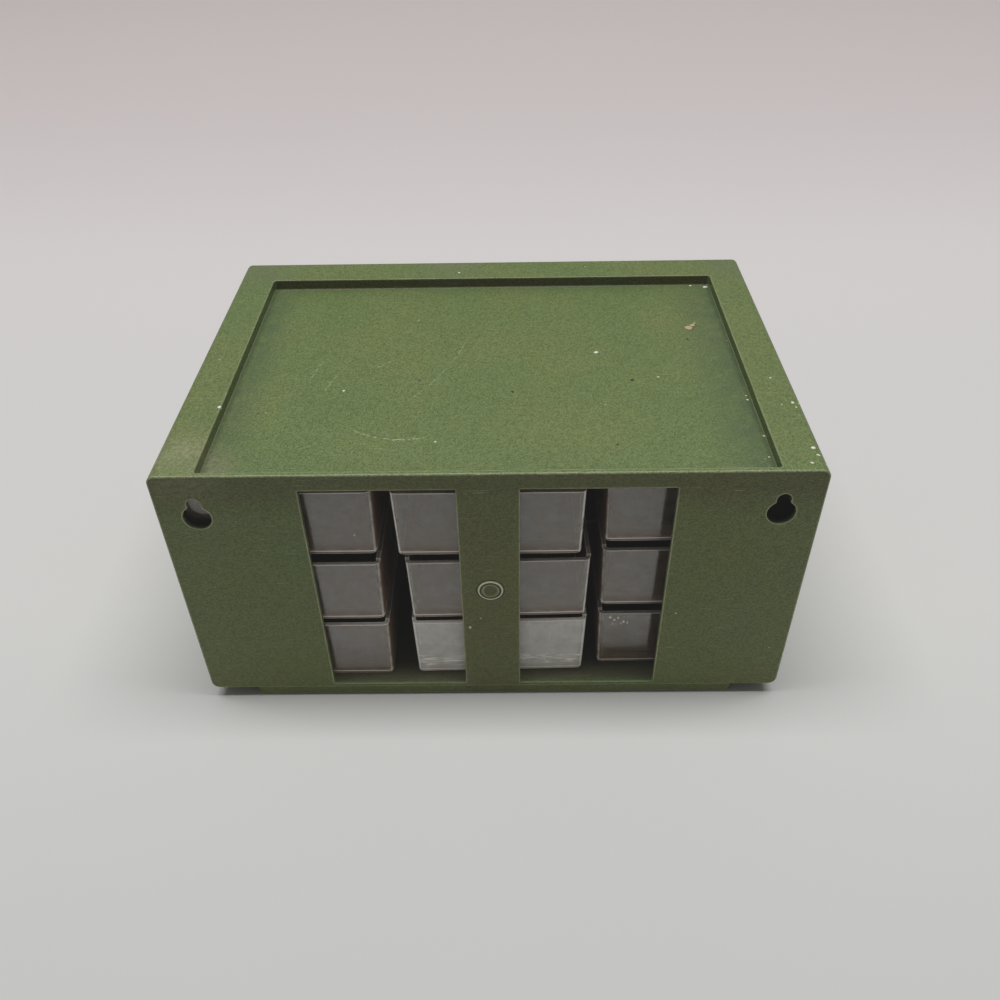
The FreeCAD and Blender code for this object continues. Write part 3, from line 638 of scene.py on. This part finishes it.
def painted_board():
    """Pale paint, rolled on board.

    It is matt, with faint clouds. Painted shade makes it lightest just beyond the cabinet, and a little
    darker at both ends of the view.
    """
    finish, tree, shader, place = material("pale_painted_board")
    away = add(tree, "SeparateXYZ", {0: place}, "Y")
    away = add(tree, "MapRange", {"Value": away, 1: FLOOR_NEAR, 2: FLOOR_FAR, 3: 0.0, 4: 1.0})
    cloud = add(tree, "TexNoise", {"Vector": place, "Scale": 5.0, "Detail": 3.0})
    cloud = add(tree, "MapRange", {"Value": cloud, 1: 0.0, 2: 1.0, 3: -0.02, 4: 0.02})
    away = add(tree, "Math", {0: away, 1: cloud}, operation="ADD")
    # painted shade: darker near the camera and far away
    base = add(tree, "ValToRGB", {"Fac": away}, stops=[
        (share, colour(tone)) for share, tone in FLOOR_TONES])
    tree.links.new(base, shader.inputs["Base Color"])
    shader.inputs["Roughness"].default_value = 0.7
    return finish


def floor(half):
    """A flat square floor under the cabinet, half of its width to each side of the origin."""
    corners = half * np.array([(-1, -1, 0), (1, -1, 0), (1, 1, 0), (-1, 1, 0)], float)
    mesh = bpy.data.meshes.new("floor")
    mesh.from_pydata(corners.tolist(), [], [(0, 1, 2, 3)])
    mesh.materials.append(painted_board())
    made = bpy.data.objects.new("floor", mesh)
    scene.collection.objects.link(made)


def lamp(name, place, target, wide, deep, power, tint):
    """A soft rectangular light that faces a target."""
    data = bpy.data.lights.new(name, "AREA")
    data.shape = "RECTANGLE"
    data.size = wide
    data.size_y = deep
    data.energy = power
    data.color = colour(tint)[:3]
    made = bpy.data.objects.new(name, data)
    made.location = place
    made.rotation_mode = "QUATERNION"
    made.rotation_quaternion = (Vector(target) - Vector(place)).to_track_quat("-Z", "Y")
    scene.collection.objects.link(made)


def studio(tint, strength):
    """Even light from all round."""
    world = bpy.data.worlds.new("studio")
    world.use_nodes = True
    world.node_tree.nodes["Background"].inputs["Color"].default_value = colour(tint)
    world.node_tree.nodes["Background"].inputs["Strength"].default_value = strength
    scene.world = world


def soft_toe():
    """A tone curve that keeps the deepest shadows a little above black and leaves the rest alone."""
    scene.view_settings.view_transform = "Standard"
    scene.view_settings.use_curve_mapping = True
    mapping = scene.view_settings.curve_mapping
    points = mapping.curves[3].points
    points[0].location = BLACK
    for dark, lifted in TOE:
        points.new(dark, lifted)
    mapping.update()


floor(half=30.0)
lamp("overhead", (0.0, -0.08, 4.0), (0.0, 0.0, 0.0), wide=4.6, deep=1.2, power=176.0, tint="#fffefe")
studio("#f5f4f4", strength=0.22)
soft_toe()
